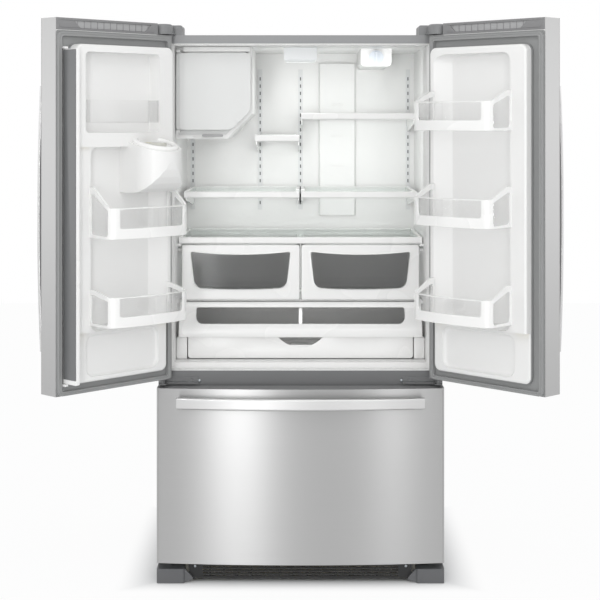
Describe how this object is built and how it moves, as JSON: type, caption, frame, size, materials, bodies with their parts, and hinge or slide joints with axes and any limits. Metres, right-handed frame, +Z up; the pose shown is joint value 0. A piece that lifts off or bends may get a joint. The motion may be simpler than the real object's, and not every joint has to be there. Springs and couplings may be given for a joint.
{
  "type": "french door refrigerator",
  "caption": "Free-standing refrigerator with side-hinged upper doors, door bins, shelves, crispers, an ice compartment and a bottom freezer drawer.",
  "frame": {"origin": "centre of the overall footprint with both doors open, at floor level", "axes": "+Z up, front towards -Y, +X to the right seen from the front"},
  "size_m": [1.589, 1.1487, 1.7606],
  "materials": {
    "side_paint": "textured satin paint",
    "galvanised_steel": "galvanised",
    "white_liner": "satin moulded",
    "foam": "matte rigid foam",
    "rail_paint": "satin",
    "dark_plastic": "moulded",
    "grey_plastic": "moulded",
    "cap_plastic": "moulded",
    "hinge_steel": "satin",
    "black_enamel": "enamelled",
    "bare_aluminium": "mill finish",
    "track_steel": "powder coated",
    "shelf_white": "moulded",
    "shelf_glass": "tempered",
    "lens": "frosted",
    "ice_maker_white": "moulded",
    "valve_plastic": "moulded",
    "stainless": "brushed",
    "handle_steel": "satin polished",
    "clear_bin": "clear moulded",
    "clear_crisper": "clear moulded with white frame",
    "pantry_white": "moulded with clear window",
    "dispenser_black": "moulded",
    "paddle_grey": "moulded",
    "gasket_rubber": "soft",
    "basket_white": "moulded",
    "mullion_steel": "plastic body with painted steel face",
    "ice_door_white": "moulded",
    "filter_white": "moulded",
    "foot_plastic": "moulded"
  },
  "bodies": {
    "cabinet": {"cabinet_shell": "side_paint", "rear_panels": "galvanised_steel", "fridge_liner": "white_liner", "freezer_liner": "white_liner", "cabinet_foam": "foam", "center_rail": "rail_paint", "base_frame": "galvanised_steel", "kick_grille": "dark_plastic", "foot_covers": "grey_plastic", "door_hinges": "hinge_steel", "hinge_covers": "grey_plastic", "compressor": "black_enamel", "condenser": "black_enamel", "evaporator_coil": "bare_aluminium", "duct_covers": "white_liner", "shelf_tracks": "track_steel", "shelf_frames": "shelf_white", "shelf_glass": "shelf_glass", "ceiling_light": "lens", "filter_housing": "white_liner", "ice_box": "white_liner", "ice_maker": "ice_maker_white", "water_valve": "valve_plastic", "freezer_rails": "galvanised_steel"},
    "left_door": {"left_door_skin": "stainless", "left_door_caps": "cap_plastic", "left_door_liner": "white_liner", "left_door_foam": "foam", "left_door_gasket": "gasket_rubber", "left_door_handle": "handle_steel", "left_door_bins": "clear_bin", "dispenser_housing": "dispenser_black"},
    "right_door": {"right_door_skin": "stainless", "right_door_caps": "cap_plastic", "right_door_liner": "white_liner", "right_door_foam": "foam", "right_door_gasket": "gasket_rubber", "right_door_handle": "handle_steel", "right_door_bins": "clear_bin"},
    "freezer_drawer": {"freezer_skin": "stainless", "freezer_caps": "cap_plastic", "freezer_inner_panel": "white_liner", "freezer_foam": "foam", "freezer_gasket": "gasket_rubber", "freezer_handle": "handle_steel", "freezer_basket": "basket_white"},
    "mullion": {"mullion": "mullion_steel"},
    "dispenser_paddle": {"dispenser_paddle": "paddle_grey"},
    "freezer_slide": {"freezer_slides": "galvanised_steel"},
    "upper_basket": {"upper_basket": "basket_white"},
    "left_crisper": {"left_crisper": "clear_crisper"},
    "right_crisper": {"right_crisper": "clear_crisper"},
    "pantry_drawer": {"pantry_drawer": "pantry_white"},
    "ice_door": {"ice_door": "ice_door_white"},
    "condenser_fan": {"condenser_fan": "dark_plastic"},
    "evaporator_fan": {"evaporator_fan": "grey_plastic"},
    "water_filter": {"water_filter": "filter_white"},
    "rear_rollers": {"rear_rollers": "dark_plastic"},
    "leveling_foot_left": {"leveling_foot_left": "foot_plastic"},
    "leveling_foot_right": {"leveling_foot_right": "foot_plastic"}
  },
  "joints": [
    {"name": "left_door_hinge", "type": "hinge", "parent": "cabinet", "child": "left_door", "pos_m": [-0.4358, -0.2105, 0.65], "axis": [0, 0, -1], "range_deg": [-133.9, 0]},
    {"name": "right_door_hinge", "type": "hinge", "parent": "cabinet", "child": "right_door", "pos_m": [0.4358, -0.2105, 0.65], "axis": [0, 0, 1], "range_deg": [-133.9, 0]},
    {"name": "mullion_fold", "type": "hinge", "parent": "left_door", "child": "mullion", "pos_m": [-0.69255, -0.53701, 1.17], "axis": [0, 0, 1], "range_deg": [-90, 0]},
    {"name": "paddle_push", "type": "hinge", "parent": "left_door", "child": "dispenser_paddle", "pos_m": [-0.57045, -0.32143, 1.2446], "axis": [-0.6934, -0.7206, 0], "range_deg": [0, 12], "stiffness_Nm_per_rad": 0.3},
    {"name": "freezer_drawer_slide", "type": "slide", "parent": "cabinet", "child": "freezer_drawer", "axis": [0, -1, 0], "range_m": [0, 0.4]},
    {"name": "freezer_middle_slide", "type": "slide", "parent": "cabinet", "child": "freezer_slide", "axis": [0, -1, 0], "range_m": [0, 0.2]},
    {"name": "upper_basket_slide", "type": "slide", "parent": "cabinet", "child": "upper_basket", "axis": [0, -1, 0], "range_m": [0, 0.2]},
    {"name": "left_crisper_slide", "type": "slide", "parent": "cabinet", "child": "left_crisper", "axis": [0, -1, 0], "range_m": [0, 0.255]},
    {"name": "right_crisper_slide", "type": "slide", "parent": "cabinet", "child": "right_crisper", "axis": [0, -1, 0], "range_m": [0, 0.255]},
    {"name": "pantry_slide", "type": "slide", "parent": "cabinet", "child": "pantry_drawer", "axis": [0, -1, 0], "range_m": [0, 0.24]},
    {"name": "ice_door_hinge", "type": "hinge", "parent": "cabinet", "child": "ice_door", "pos_m": [-0.3952, -0.1016, 1.55], "axis": [0, 0, -1], "range_deg": [0, 80]},
    {"name": "condenser_fan_spin", "type": "hinge", "parent": "cabinet", "child": "condenser_fan", "pos_m": [0.06, 0.4449, 0.137], "axis": [1, 0, 0], "continuous": true},
    {"name": "evaporator_fan_spin", "type": "hinge", "parent": "cabinet", "child": "evaporator_fan", "pos_m": [0, 0.3424, 0.524], "axis": [0, 1, 0], "continuous": true},
    {"name": "water_filter_turn", "type": "hinge", "parent": "cabinet", "child": "water_filter", "pos_m": [0.253, 0.1524, 1.667], "axis": [0, 1, 0], "range_deg": [0, 90]},
    {"name": "rear_roller_spin", "type": "hinge", "parent": "cabinet", "child": "rear_rollers", "pos_m": [0, 0.5004, 0.022], "axis": [1, 0, 0], "continuous": true},
    {"name": "leveling_foot_left_turn", "type": "hinge", "parent": "cabinet", "child": "leveling_foot_left", "pos_m": [-0.4313, -0.1466, 0.03], "axis": [0, 0, 1], "continuous": true},
    {"name": "leveling_foot_right_turn", "type": "hinge", "parent": "cabinet", "child": "leveling_foot_right", "pos_m": [0.4313, -0.1466, 0.03], "axis": [0, 0, 1], "continuous": true}
  ],
  "couplings": [
    {"joint": "freezer_middle_slide", "follows": "freezer_drawer_slide", "ratio": 0.5},
    {"joint": "upper_basket_slide", "follows": "freezer_drawer_slide", "ratio": 0.5}
  ]
}
